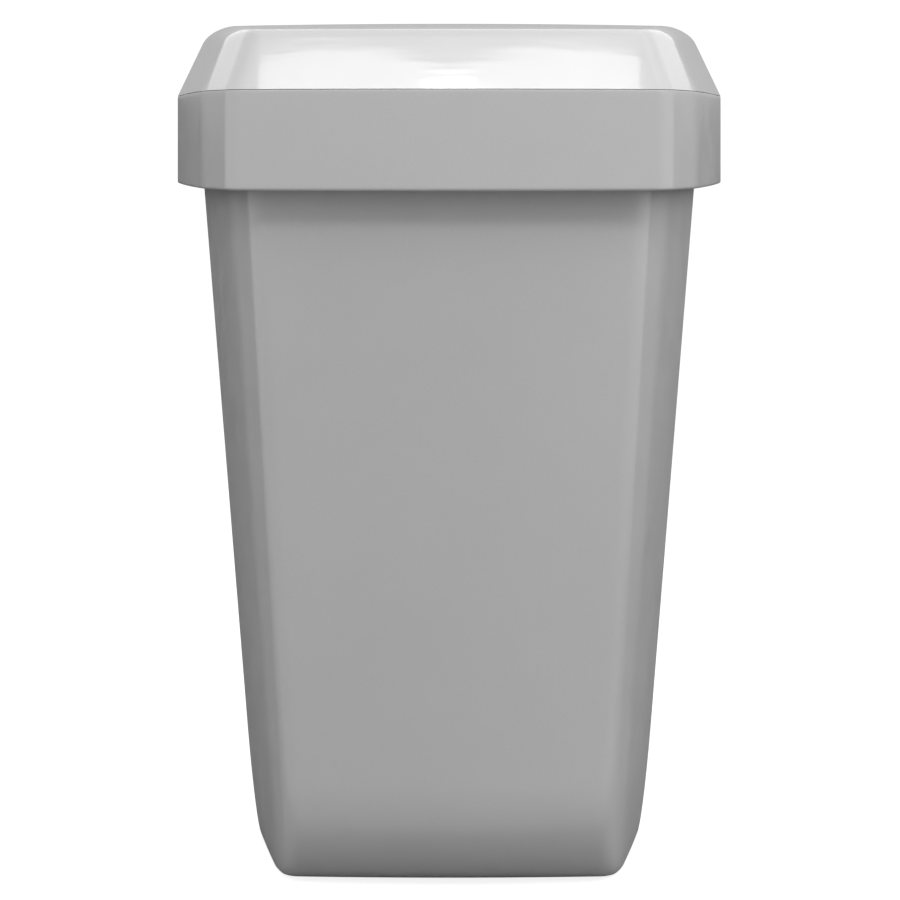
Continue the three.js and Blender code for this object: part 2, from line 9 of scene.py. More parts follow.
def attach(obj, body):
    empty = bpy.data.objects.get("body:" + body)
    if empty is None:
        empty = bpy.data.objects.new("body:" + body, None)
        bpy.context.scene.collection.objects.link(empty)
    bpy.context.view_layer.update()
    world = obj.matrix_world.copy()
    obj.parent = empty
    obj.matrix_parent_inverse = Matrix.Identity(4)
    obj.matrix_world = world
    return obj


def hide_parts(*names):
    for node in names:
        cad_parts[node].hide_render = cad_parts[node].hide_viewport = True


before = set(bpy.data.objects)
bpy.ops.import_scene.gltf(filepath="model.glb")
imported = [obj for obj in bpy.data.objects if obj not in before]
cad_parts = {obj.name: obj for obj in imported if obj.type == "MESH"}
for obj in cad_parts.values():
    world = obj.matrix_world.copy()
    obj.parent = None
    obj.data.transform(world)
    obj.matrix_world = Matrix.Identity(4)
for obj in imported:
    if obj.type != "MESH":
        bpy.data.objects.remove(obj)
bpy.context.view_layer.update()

# Sizes of the bin in millimetres: the part's own, and those of finer forms that only this model has

OVERALL_DEPTH = 291
FRONT_RADIUS = 734
FRONT_FLAT_WIDTH = 288.8
CORNER_FACE_TURN = math.radians(65.3)
FRONT_CORNER_ROUNDING = 7.3
WIDTH_AT_BACK = 443.4
SIDE_RADIUS = 2220
SIDE_FLARE = math.radians(8.7)
HALF_OVERALL_WIDTH = 216.89
REAR_CORNER_RADIUS = 29
CREASE_RADIUS = 1.5

OVERALL_HEIGHT = 623.7
COLLAR_HEIGHT = 69.2
LID_RISE = 54.7

COLLAR_OVERHANG = 19.7
TAPER_RATIO = 0.074
TUB_WALL = 2.8
TUB_FLOOR = 4
FOOT_RISE = 80
FRONT_FOOT_INSET = 42
CORNER_FOOT_INSET = 8.7
SIDE_FOOT_INSET = 3.1
REAR_FOOT_INSET = 8
FOOT_FRONT_RADIUS = 12000
RIM_BELOW_COLLAR_TOP = 22.5
RIM_EDGE_INSET = 9
RIM_THICKNESS = 3
RIM_LIP_HEIGHT = 12
RIM_LIP_WALL = 2.4
RIM_LIP_ROUNDING = 1
RIM_OUTER_ROUNDING = 1.2
RIM_INNER_ROUNDING = 1

COLLAR_WALL = 2.5
COLLAR_EDGE_RADIUS = 2
COLLAR_TOP_ROUNDING = 0.7
COLLAR_CHAMFER_WIDTH = 0.3
COLLAR_CHAMFER_HEIGHT = 0.4
COLLAR_FACE_ABOVE_EDGE = 4
COLLAR_FACE_BELOW_TOP = 3
SHELF_DEPTH = 10
SHELF_THICKNESS = 2.5
SHELF_INNER_INSET = 13.4
SHELF_ROUNDING = 0.5

LID_WALL = 2.2
SEAM = 0.3
LID_FACE_INSET = 0.25
SLOPE_RATIO = 0.455
TOP_EDGE_RADIUS = 11
BEND_BEFORE_SLOPE_END = 6
BEND_PAST_SLOPE_END = 8
CROWN_TOP_FROM_FRONT = 246
CROWN_RADIUS_FRONT_TO_BACK = 2000
CROWN_RADIUS_SIDE_TO_SIDE = 8000
CROWN_FLAT_INSET = 60
BOSS_RADIUS = 4.2
BOSS_INSET = 8.6

RING_OUTER_INSET = 17.2
RING_INNER_INSET = 26
RING_THICKNESS = 2.5
RING_SKIRT_WALL = 2.2
RING_SKIRT_DEPTH = 22
RING_SKIRT_CHAMFER = 0.5
RING_ROUNDING = 0.7
BAG_GAP = 1
TAB_LENGTH = 46
TAB_REACH = 13
TAB_SLOT_LENGTH = 28
TAB_SLOT_WIDTH = 7

HINGE_HALF_SPACING = 110
HINGE_AXIS_INSET = 7
HINGE_AXIS_ABOVE_EDGE = 6
HINGE_OPENING = math.radians(100)
BARREL_RADIUS = 5.5
BARREL_LENGTH = 14
EAR_THICKNESS = 4
EAR_BLOCK_HEIGHT = 16
EAR_BACK_INSET = 0.1
HINGE_GAP = 0.4
NOTCH_CLEARANCE = 3.5
HEEL_WIDTH = 5
PLATE_WIDTH = 36
PLATE_THICKNESS = 3
PLATE_TOP_ABOVE_AXIS = 4
PLATE_BOTTOM_BELOW_AXIS = 42
ARM_DROP = 16
PIN_RADIUS = 2.5
PIN_HEAD_RADIUS = 4.2
PIN_HEAD_THICKNESS = 1.5
CAP_THICKNESS = 2.5
CAP_EDGE_CHAMFER = 0.3
CAP_END_CHAMFER = 0.8
BOLT_SPACING = 20
BOLT_BELOW_AXIS = 30

BOLT_RADIUS = 2.5
BOLT_HEAD_RADIUS = 4.5
BOLT_HEAD_HEIGHT = 2.6
NUT_HEIGHT = 4
BOLT_OVERRUN = 1.5
LID_SCREW_RADIUS = 2
LID_SCREW_HEAD_RADIUS = 3.6
LID_SCREW_HEAD_HEIGHT = 2.2
LID_SCREW_LENGTH = 14
LID_SCREW_TIP = 0.5
RECESS_DEPTH = 1.2
RECESS_REACH = 2
RECESS_HALF_WIDTH = 0.35
SOCKET_RADIUS = 1.5

BUFFER_RADIUS = 2.6
BUFFER_INSET = 10.6
BUFFER_STEM_RADIUS = 1.6
BUFFER_STEM_DOME = 0.3
PAD_RADIUS = 11
PAD_THICKNESS = 3
PAD_PROUD = 1
PAD_EDGE = 16
PAD_DIMPLE_DEPTH = 0.5
PAD_DIMPLE_RADIUS = 3.4
CLEARANCE = 0.3
BORE_CLEARANCE = 0.3
CUT_OVERRUN = 1
BRACKET_BEVEL = 0.5
NUT_BEVEL = 0.3

LID_SCREW_DIRECTIONS = [28, 96, 150]
BUFFER_DIRECTIONS = [14, 80]

# Rounded edges, as steps in from the edge, or out below zero, and on from the face

PAD_DIMPLE_ROUNDING = [(0, PAD_DIMPLE_DEPTH), (-0.4, 0.1), (-1, 0)]
PAD_ROUNDING = [(0.8, 0), (0.25, 0.25), (0, 0.8)]
BUFFER_ROUNDING = [(1.2, 0), (0.4, 0.3), (0, 1.2)]
SCREW_HEAD_ROUNDING = [(1.4, 0), (0.5, 0.4), (0, 1.1)]
BOLT_HEAD_ROUNDING = [(0, 0), (0, 0.7), (0.35, 1.5), (1.1, 2.2), (2.2, BOLT_HEAD_HEIGHT)]
PIN_HEAD_ROUNDING = [(0, 0), (0, 0.75), (0.5, 1.275), (1.6, PIN_HEAD_THICKNESS)]
SHANK_CHAMFER = [(0.5, 0), (0, 0.5)]
LID_EDGE_ROUNDING = [(0.3, 0), (0.1, 0.15)]

# How finely round stretches are divided

SEARCH_STEPS = 32
SWEEP_STEPS = 2880
FRONT_STEPS = 24
FRONT_CORNER_STEPS = 12
CORNER_FACE_STEPS = 8
CREASE_STEPS = 4
SIDE_STEPS = 20
REAR_CORNER_STEPS = 16
BACK_STEPS = 12
FRONT_CORNER_SPREAD_SHARE = 1.6
REAR_CORNER_SPREAD_SHARE = 1.1
FOOT_RINGS = 22
WALL_RINGS = 12
COLLAR_FACE_RINGS = 10
SLOPE_RINGS = 16
BEND_RINGS = 30
CROWN_RINGS = 16
CROWN_COPIES = 12
TURNED_SIDES = 48
ROD_SIDES = 32
SOCKET_SIDES = 6
SHARP_DEGREES = 35

# Sizes worked out from those above

HALF_WIDTH = WIDTH_AT_BACK / 2
FRONT_EDGE = -OVERALL_DEPTH / 2
BACK_EDGE = OVERALL_DEPTH / 2
COLLAR_TOP = OVERALL_HEIGHT - LID_RISE
COLLAR_LOWER_EDGE = COLLAR_TOP - COLLAR_HEIGHT
SHELF_TOP = COLLAR_TOP - SHELF_DEPTH
SHELF_BOTTOM = SHELF_TOP - SHELF_THICKNESS
RIM_TOP = COLLAR_TOP - RIM_BELOW_COLLAR_TOP
TUB_BASE = PAD_PROUD
TUB_INSIDE_FLOOR = TUB_BASE + TUB_FLOOR
AXIS_Y = BACK_EDGE - HINGE_AXIS_INSET
AXIS_Z = COLLAR_LOWER_EDGE + HINGE_AXIS_ABOVE_EDGE
SIDE_CENTRE_X = HALF_WIDTH - SIDE_RADIUS * math.cos(SIDE_FLARE)
SIDE_CENTRE_Y = BACK_EDGE + SIDE_RADIUS * math.sin(SIDE_FLARE)
EAR_INNER = BARREL_LENGTH / 2 + HINGE_GAP
EAR_OUTER = EAR_INNER + EAR_THICKNESS
WALL_ANGLE = math.atan(TAPER_RATIO)
BOLT_Z = AXIS_Z - BOLT_BELOW_AXIS
BOLT_GRIP = PLATE_THICKNESS + CLEARANCE * 2
SIGNS = {"left": -1, "right": 1}

# The outline seen from above, for whole rows of points at once


def rounded_min(first, second, radius):
    """The smaller of two depths, with the corner between them rounded."""
    shorts = np.hypot(np.maximum(radius - first, 0), np.maximum(radius - second, 0))
    return np.maximum(radius, np.minimum(first, second)) - shorts


def even(inset):
    return {"front": inset, "corner": inset, "side": inset, "back": inset, "straightening": 0}


def outline_depths(x, y, inset):
    """How deep points lie inside each of the outline's four stretches."""
    bow = FRONT_RADIUS - np.hypot(x, y - FRONT_EDGE - FRONT_RADIUS)
    turn_x, turn_y = math.sin(CORNER_FACE_TURN), math.cos(CORNER_FACE_TURN)
    return {
        "front": bow - inset["front"] + inset["straightening"] * x**2,
        "corner": (FRONT_FLAT_WIDTH / 2 - abs(x)) * turn_x + (y - FRONT_EDGE) * turn_y - inset["corner"],
        "side": SIDE_RADIUS - np.hypot(abs(x) - SIDE_CENTRE_X, y - SIDE_CENTRE_Y) - inset["side"],
        "back": BACK_EDGE - y - inset["back"],
    }


def front_and_rear_depth(x, y, inset):
    depth = outline_depths(x, y, inset)
    front = rounded_min(depth["front"], depth["corner"], FRONT_CORNER_ROUNDING)
    return front, rounded_min(depth["side"], depth["back"], REAR_CORNER_RADIUS)


def outline_depth(x, y, inset):
    return rounded_min(*front_and_rear_depth(x, y, inset), CREASE_RADIUS)


def search(is_inside, low, high):
    """The last value that is inside, for every member of two arrays at once."""
    for _ in range(SEARCH_STEPS):
        middle = (low + high) / 2
        inside = is_inside(middle)
        low = np.where(inside, middle, low)
        high = np.where(inside, high, middle)
    return low


def outline_points(directions, inset):
    """Points of an outline in some directions from the middle, which count from the front."""
    across, along = np.sin(directions), -np.cos(directions)
    reach = search(
        lambda far: outline_depth(across * far, along * far, inset) > 0,
        np.zeros_like(directions),
        np.full_like(directions, WIDTH_AT_BACK),
    )
    return across * reach, along * reach


def edge_across(y, inset):
    """How far an outline reaches to the side at some y."""
    reach = search(lambda x: outline_depth(x, y, inset) > 0, np.zeros(1), np.full(1, HALF_WIDTH))
    return float(reach[0])


def half_directions(inset):
    """Directions of one half outline, close together where it turns."""
    sweep = np.linspace(0, np.pi, SWEEP_STEPS + 1)
    x, y = outline_points(sweep, inset)
    depth = outline_depths(x, y, inset)
    corner = sweep[np.argmax(depth["front"] > depth["corner"])]
    crease = sweep[np.argmax((depth["corner"] > depth["side"]) & (sweep > corner))]
    rear = sweep[np.argmax((depth["side"] > depth["back"]) & (sweep > crease))]
    reach = np.hypot(x, y)
    corner_spread = FRONT_CORNER_SPREAD_SHARE * FRONT_CORNER_ROUNDING / np.interp(corner, sweep, reach)
    crease_spread = CREASE_RADIUS / np.interp(crease, sweep, reach)
    rear_spread = REAR_CORNER_SPREAD_SHARE * REAR_CORNER_RADIUS / np.interp(rear, sweep, reach)
    stretches = [
        (0, corner - corner_spread, FRONT_STEPS),
        (corner - corner_spread, corner + corner_spread, FRONT_CORNER_STEPS),
        (corner + corner_spread, crease - crease_spread, CORNER_FACE_STEPS),
        (crease - crease_spread, crease + crease_spread, CREASE_STEPS),
        (crease + crease_spread, rear - rear_spread, SIDE_STEPS),
        (rear - rear_spread, rear + rear_spread, REAR_CORNER_STEPS),
        (rear + rear_spread, np.pi, BACK_STEPS),
    ]
    starts = [np.linspace(start, end, steps, endpoint=False) for start, end, steps in stretches]
    return np.concatenate([*starts, [np.pi]])


def ring(inset, height):
    """One closed ring, no wider than the CAD's box. The height is a number, or a function of x and y."""
    x, y = outline_points(half_directions(inset), inset)
    x = np.minimum(x, HALF_OVERALL_WIDTH)
    x = np.concatenate([x, -x[-2:0:-1]])
    y = np.concatenate([y, y[-2:0:-1]])
    z = height(x, y) if callable(height) else np.full_like(x, height)
    return np.column_stack([x, y, z])


def arc(middle, radius, start, end, steps=5):
    """Points of a profile's arc, as (inset, height). Angles are in degrees from the outside, upwards."""
    turns = np.radians(np.linspace(start, end, steps + 1))
    return [(middle[0] - radius * math.cos(t), middle[1] + radius * math.sin(t)) for t in turns]


def edge_points(radius, face, rounding):
    """Points of a turned profile, as (radius, height), where its edge is rounded."""
    return [(radius - inwards, face + onwards) for inwards, onwards in rounding]


# Solids as (points, faces) in millimetres


def loft(rings, looped=False, first_middle=None, last_middle=None):
    """A skin through rings of points. It closes on its first ring, or on a middle point at each end."""
    count = len(rings[0])
    points = [tuple(point) for one in rings for point in one]
    faces = []
    bands = len(rings) if looped else len(rings) - 1
    for band in range(bands):
        lower, upper = band * count, (band + 1) % len(rings) * count
        for index in range(count):
            following = (index + 1) % count
            faces.append((lower + index, lower + following, upper + following, upper + index))
    if not looped:
        last = (len(rings) - 1) * count
        for start, middle in ((0, first_middle), (last, last_middle)):
            centre = len(points)
            points.append(middle)
            faces += [(centre, start + index, start + (index + 1) % count) for index in range(count)]
    return points, faces


def turned(profile, sides=TURNED_SIDES):
    """A profile of (radius, height) turned round the Z axis. It starts and ends on the axis."""
    angles = np.linspace(0, 2 * np.pi, sides, endpoint=False)
    rings = [[(r * math.cos(a), r * math.sin(a), z) for a in angles] for r, z in profile[1:-1]]
    return loft(rings, False, (0, 0, profile[0][1]), (0, 0, profile[-1][1]))


def tube(profile, sides=TURNED_SIDES):
    """A closed profile of (radius, height) turned round the Z axis, with a hole in the middle."""
    angles = np.linspace(0, 2 * np.pi, sides, endpoint=False)
    return loft([[(r * math.cos(a), r * math.sin(a), z) for a in angles] for r, z in profile], True)


def rod(radius, low, high, sides=ROD_SIDES):
    return turned([(0, low), (radius, low), (radius, high), (0, high)], sides)


def slab(shape, thickness, x):
    """A flat (y, z) shape made thick along X about x."""
    count = len(shape)
    points = [(x + side * thickness / 2, y, z) for side in (-1, 1) for y, z in shape]
    faces = [tuple(range(count)), tuple(range(count, 2 * count))]
    faces += [(i, (i + 1) % count, count + (i + 1) % count, count + i) for i in range(count)]
    return points, faces


def block(low, high):
    shape = [(low[1], low[2]), (high[1], low[2]), (high[1], high[2]), (low[1], high[2])]
    return slab(shape, high[0] - low[0], (low[0] + high[0]) / 2)


def along_x(x, y, z, sign=1):
    """Turns a solid drawn up the Z axis to point along X, or against it for sign -1, at a place."""
    return Matrix.Translation((x, y, z)) @ Matrix.Rotation(sign * math.pi / 2, 4, "Y")


def moved(solid, matrix):
    points, faces = solid
    return [tuple(matrix @ Vector(point)) for point in points], faces


def mesh_of(solids, name):
    """One Blender mesh in metres, holding every solid, with its faces turned outwards."""
    mesh = bpy.data.meshes.new(name)
    points, faces = [], []
    for solid_points, solid_faces in solids:
        faces += [tuple(len(points) + index for index in face) for face in solid_faces]
        points += [tuple(value / 1000 for value in point) for point in solid_points]
    mesh.from_pydata(points, [], faces)
    work = bmesh.new()
    work.from_mesh(mesh)
    bmesh.ops.recalc_face_normals(work, faces=work.faces)
    work.to_mesh(mesh)
    work.free()
    return mesh


def new_object(name, solids):
    made = bpy.data.objects.new(name, mesh_of(solids, name))
    bpy.context.scene.collection.objects.link(made)
    return made


def combine(piece, solids, operation):
    """Joins solids to a piece, or cuts them out of it. The solids stand clear of each other."""
    tool = new_object("tool", solids)
    step = piece.modifiers.new("step", "BOOLEAN")
    step.operation = operation
    step.solver = "EXACT"
    step.object = tool
    made = piece.evaluated_get(bpy.context.evaluated_depsgraph_get())
    old = piece.data
    piece.data = bpy.data.meshes.new_from_object(made)
    piece.modifiers.clear()
    bpy.data.meshes.remove(old)
    bpy.data.objects.remove(tool)


def shade(piece, sharp_degrees=SHARP_DEGREES):
    """Smooth shading that stops at edges sharper than the angle."""
    work = bmesh.new()
    work.from_mesh(piece.data)
    for face in work.faces:
        face.smooth = True
    for edge in work.edges:
        turn = edge.calc_face_angle(0)
        edge.smooth = turn < math.radians(sharp_degrees)
    work.to_mesh(piece.data)
    work.free()


def bevelled(piece, width):
    edge = piece.modifiers.new("edges", "BEVEL")
    edge.width = width / 1000
    edge.segments = 3
    edge.limit_method = "ANGLE"
    edge.angle_limit = math.radians(SHARP_DEGREES)
    edge.harden_normals = False


def add_piece(piece, material, body, slot, *nodes):
    piece.data.materials.clear()
    piece.data.materials.append(material)
    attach(piece, body)
    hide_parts(*nodes)


def placed_copy(name, source, place):
    """A copy of a small piece drawn at the origin, set in a place given in millimetres."""
    mesh = source.data.copy()
    in_metres = place.copy()
    in_metres.translation = place.translation / 1000
    mesh.transform(in_metres)
    made = bpy.data.objects.new(name, mesh)
    bpy.context.scene.collection.objects.link(made)
    return made


# Materials


class Nodes:
    """A material's node tree, with short ways to add and join nodes."""

    def __init__(self, name):
        self.material = bpy.data.materials.new(name)
        self.material.use_nodes = True
        self.tree = self.material.node_tree
        self.shader = self.tree.nodes["Principled BSDF"]

    def add(self, kind, **values):
        node = self.tree.nodes.new(kind)
        for key, value in values.items():
            setattr(node, key, value)
        return node

    def join(self, source, target):
        self.tree.links.new(source, target)

    def noise(self, scale, detail=2.0, roughness=0.5, stretch=(1, 1, 1)):
        place = self.add("ShaderNodeTexCoord")
        mapping = self.add("ShaderNodeMapping")
        mapping.inputs["Scale"].default_value = stretch
        noise = self.add("ShaderNodeTexNoise")
        noise.inputs["Scale"].default_value = scale
        noise.inputs["Detail"].default_value = detail
        noise.inputs["Roughness"].default_value = roughness
        self.join(place.outputs["Object"], mapping.inputs["Vector"])
        self.join(mapping.outputs["Vector"], noise.inputs["Vector"])
        return noise.outputs["Fac"]

    def spread(self, source, low, high, start=0.3, end=0.7):
        """Maps a noise's middle range to a range of values."""
        span = self.add("ShaderNodeMapRange")
        span.inputs["From Min"].default_value = start
        span.inputs["From Max"].default_value = end
        span.inputs["To Min"].default_value = low
        span.inputs["To Max"].default_value = high
        self.join(source, span.inputs["Value"])
        return span.outputs["Result"]

    def times(self, colour, factor):
        """The colour times a value."""
        mix = self.add("ShaderNodeMix", data_type="RGBA", blend_type="MULTIPLY")
        mix.inputs["Factor"].default_value = 1
        mix.inputs["A"].default_value = (*colour, 1)
        self.join(factor, mix.inputs["B"])
        return mix.outputs["Result"]

    def tinted(self, colour, source, low, high):
        """The colour times a value between low and high."""
        return self.times(colour, self.spread(source, low, high))

    def bump(self, source, strength, distance):
        bump = self.add("ShaderNodeBump")
        bump.inputs["Strength"].default_value = strength
        bump.inputs["Distance"].default_value = distance
        self.join(source, bump.inputs["Height"])
        return bump.outputs["Normal"]


def moulded_plastic(name, colour, roughness, grain=0.3, mottle=0.02):
    """Moulded plastic with a fine spark-eroded grain, a faint cloudiness and an uneven sheen."""
    nodes = Nodes(name)
    shader = nodes.shader.inputs
    fine = nodes.noise(scale=1500, detail=3.0, roughness=0.6)
    cloud = nodes.noise(scale=7, detail=3.0)
    worn = nodes.noise(scale=40, detail=4.0)
    fleck = grain * 0.12
    shades = nodes.add("ShaderNodeMath", operation="ADD")
    nodes.join(nodes.spread(fine, low=-fleck, high=fleck), shades.inputs[0])
    nodes.join(nodes.spread(cloud, low=1 - mottle, high=1 + mottle), shades.inputs[1])
    nodes.join(nodes.times(colour, shades.outputs[0]), shader["Base Color"])
    sheen = nodes.spread(worn, low=roughness - 0.04, high=roughness + 0.04)
    nodes.join(sheen, shader["Roughness"])
    nodes.join(nodes.bump(fine, strength=grain, distance=0.0002), shader["Normal"])
    shader["Specular IOR Level"].default_value = 0.5
    return nodes.material


def glossy_plastic(name, colour, roughness):
    """Polished white plastic, drawn out a little across the lid, with a haze of fine rubbing."""
    nodes = Nodes(name)
    shader = nodes.shader.inputs
    cloud = nodes.noise(scale=9, detail=3.0)
    rubbed = nodes.noise(scale=60, detail=5.0, roughness=0.6)
    waves = nodes.noise(scale=1, detail=2.0, stretch=(4, 60, 60))
    nodes.join(nodes.tinted(colour, cloud, low=0.985, high=1.01), shader["Base Color"])
    haze = nodes.spread(rubbed, low=roughness - 0.03, high=roughness + 0.05)
    nodes.join(haze, shader["Roughness"])
    drawn = nodes.bump(waves, strength=1, distance=0.00006)
    nodes.join(drawn, shader["Normal"])
    nodes.join(drawn, shader["Coat Normal"])
    shader["Specular IOR Level"].default_value = 0.4
    shader["Coat Weight"].default_value = 1
    shader["Coat Roughness"].default_value = 0.05
    return nodes.material


def zinc_steel(name, colour):
    """Zinc-plated steel, with a fine speckle and an uneven sheen."""
    nodes = Nodes(name)
    shader = nodes.shader.inputs
    speckle = nodes.noise(scale=500, detail=4.0)
    smears = nodes.noise(scale=900, detail=3.0)
    grain = nodes.noise(scale=2500, detail=2.0)
    nodes.join(nodes.tinted(colour, speckle, low=0.85, high=1.05), shader["Base Color"])
    nodes.join(nodes.spread(smears, low=0.28, high=0.42), shader["Roughness"])
    nodes.join(nodes.bump(grain, strength=0.1, distance=0.0001), shader["Normal"])
    shader["Metallic"].default_value = 1
    return nodes.material


def black_rubber(name, colour):
    """Matt rubber with a fine mottle."""
    nodes = Nodes(name)
    shader = nodes.shader.inputs
    mottle = nodes.noise(scale=300, detail=4.0)
    wear = nodes.noise(scale=700, detail=3.0)
    grain = nodes.noise(scale=1200, detail=4.0)
    nodes.join(nodes.tinted(colour, mottle, low=0.8, high=1.25), shader["Base Color"])
    nodes.join(nodes.spread(wear, low=0.68, high=0.85), shader["Roughness"])
    nodes.join(nodes.bump(grain, strength=0.3, distance=0.0002), shader["Normal"])
    return nodes.material


tub_plastic = moulded_plastic("tub_plastic", (0.59, 0.59, 0.59), 0.34)
collar_plastic = moulded_plastic("collar_plastic", (0.605, 0.605, 0.605), 0.32)
lid_plastic = glossy_plastic("lid_plastic", (0.70, 0.70, 0.70), 0.20)
ring_plastic = moulded_plastic("ring_plastic", (0.10, 0.10, 0.105), 0.52, grain=0.4)
bracket_plastic = moulded_plastic("bracket_plastic", (0.32, 0.32, 0.32), 0.55, grain=0.4)
steel = zinc_steel("zinc_steel", (0.62, 0.62, 0.63))
rubber = black_rubber("black_rubber", (0.03, 0.03, 0.03))

# Tub


def wall_inset(height):
    return COLLAR_OVERHANG + TAPER_RATIO * (COLLAR_LOWER_EDGE - height)


def tub_insets(height, base, offset):
    """The foot curves in as a quarter ellipse and straightens the front."""
    inset = wall_inset(height) + offset
    down = min(max((FOOT_RISE - (height - base)) / FOOT_RISE, 0), 1)
    curve = 1 - math.sqrt(1 - down**2)
    return {
        "front": inset + FRONT_FOOT_INSET * curve,
        "corner": inset + CORNER_FOOT_INSET * curve,
        "side": inset + SIDE_FOOT_INSET * curve,
        "back": inset + REAR_FOOT_INSET * curve,
        "straightening": (1 / FRONT_RADIUS - 1 / FOOT_FRONT_RADIUS) * curve / 2,
    }


def tub_wall(base, offset, top):
    """Rings of one face of the tub's wall from the base up, close together round the foot."""
    foot = [base + FOOT_RISE * (1 - math.cos(turn)) for turn in np.linspace(0, math.pi / 2, FOOT_RINGS)]
    wall = np.linspace(base + FOOT_RISE, top, WALL_RINGS)[1:]
    return [ring(tub_insets(height, base, offset), height) for height in [*foot, *wall]]


def even_rings(profile):
    """One ring for each (inset, height) of a profile, with the same inset all round."""
    return [ring(even(inset), height) for inset, height in profile]


def make_tub():
    underside = RIM_TOP - RIM_THICKNESS
    lip_inner = RIM_EDGE_INSET + RIM_LIP_WALL
    lip_end = RIM_TOP - RIM_LIP_HEIGHT
    inner_top = wall_inset(RIM_TOP) + TUB_WALL
    end_middle = (RIM_EDGE_INSET + RIM_LIP_ROUNDING, lip_end + RIM_LIP_ROUNDING)
    outer_middle = (RIM_EDGE_INSET + RIM_OUTER_ROUNDING, RIM_TOP - RIM_OUTER_ROUNDING)
    inner_middle = (inner_top - RIM_INNER_ROUNDING, RIM_TOP - RIM_INNER_ROUNDING)
    rim = [
        (lip_inner, underside),
        (lip_inner, lip_end),
        *arc(end_middle, RIM_LIP_ROUNDING, -90, 0, 3),
        *arc(outer_middle, RIM_OUTER_ROUNDING, 0, 90),
        *arc(inner_middle, RIM_INNER_ROUNDING, 90, 180),
    ]
    rings = tub_wall(TUB_BASE, 0, underside) + even_rings(rim)
    rings += tub_wall(TUB_INSIDE_FLOOR, TUB_WALL, underside)[::-1]
    return loft(rings, False, (0, 0, TUB_BASE), (0, 0, TUB_INSIDE_FLOOR))


def find_pad_places():
    """Places for the pads, set in from the base's sides, and on its middle line from its front and back."""
    base = tub_insets(TUB_BASE, TUB_BASE, 0)
    _, (front, rear) = outline_points(np.array([0, np.pi]), base)
    places = {}
    for row, y in (("front", front + PAD_EDGE), ("rear", rear - PAD_EDGE)):
        edge = edge_across(y, base)
        for side, sign in SIGNS.items():
            places[f"foot_{row}_{side}"] = Matrix.Translation((sign * (edge - PAD_EDGE), y, 0))
    return places


def make_pad(name, place):
    profile = [
        (0, PAD_DIMPLE_DEPTH),
        *edge_points(PAD_DIMPLE_RADIUS, 0, PAD_DIMPLE_ROUNDING),
        *edge_points(PAD_RADIUS, 0, PAD_ROUNDING),
        (PAD_RADIUS, PAD_THICKNESS),
        (0, PAD_THICKNESS),
    ]
    pad = new_object(f"{name}_pad", [moved(turned(profile), place)])
    shade(pad)
    add_piece(pad, rubber, "tub", "rubber", name)


tub = new_object("tub_shell", [make_tub()])
pad_places = find_pad_places()
pocket = rod(PAD_RADIUS + CLEARANCE, -CUT_OVERRUN, PAD_THICKNESS + CLEARANCE, TURNED_SIDES)
combine(tub, [moved(pocket, place) for place in pad_places.values()], "DIFFERENCE")
shade(tub)
add_piece(tub, tub_plastic, "tub", "tub_plastic", "tub")

for name, place in pad_places.items():
    make_pad(name, place)

# Collar


def seen_from_open_hood(y, z):
    """Where a point of the fixed bracket lies in the closed hood's own place, when the hood stands open."""
    from_y, from_z = y - AXIS_Y, z - AXIS_Z
    return (
        AXIS_Y + from_y * math.cos(HINGE_OPENING) - from_z * math.sin(HINGE_OPENING),
        AXIS_Z + from_y * math.sin(HINGE_OPENING) + from_z * math.cos(HINGE_OPENING),
    )


def plate_inner_y(height):
    return BACK_EDGE - wall_inset(height) + CLEARANCE


def plate_outer_y(height):
    return plate_inner_y(height) + PLATE_THICKNESS


def ear_shape():
    """The side of an ear, with a heel that meets the bracket's plate when the hood stands open."""
    high = seen_from_open_hood(plate_outer_y(AXIS_Z) + CLEARANCE, AXIS_Z)
    low = seen_from_open_hood(plate_outer_y(AXIS_Z - HEEL_WIDTH) + CLEARANCE, AXIS_Z - HEEL_WIDTH)
    heel_y = BACK_EDGE - HEEL_WIDTH
    radius = min(HINGE_AXIS_INSET, HINGE_AXIS_ABOVE_EDGE)

    def stop_height(y):
        return high[1] + (y - high[0]) / (low[0] - high[0]) * (low[1] - high[1])

    turns = np.radians(np.linspace(180, 270, 9))
    shape = [(AXIS_Y + radius * math.cos(t), AXIS_Z + radius * math.sin(t)) for t in turns]
    back, top = BACK_EDGE - EAR_BACK_INSET, AXIS_Z + EAR_BLOCK_HEIGHT
    shape += [(heel_y, stop_height(heel_y)), (back, stop_height(BACK_EDGE))]
    shape += [(back, top), (BACK_EDGE - COLLAR_WALL, top)]
    return shape


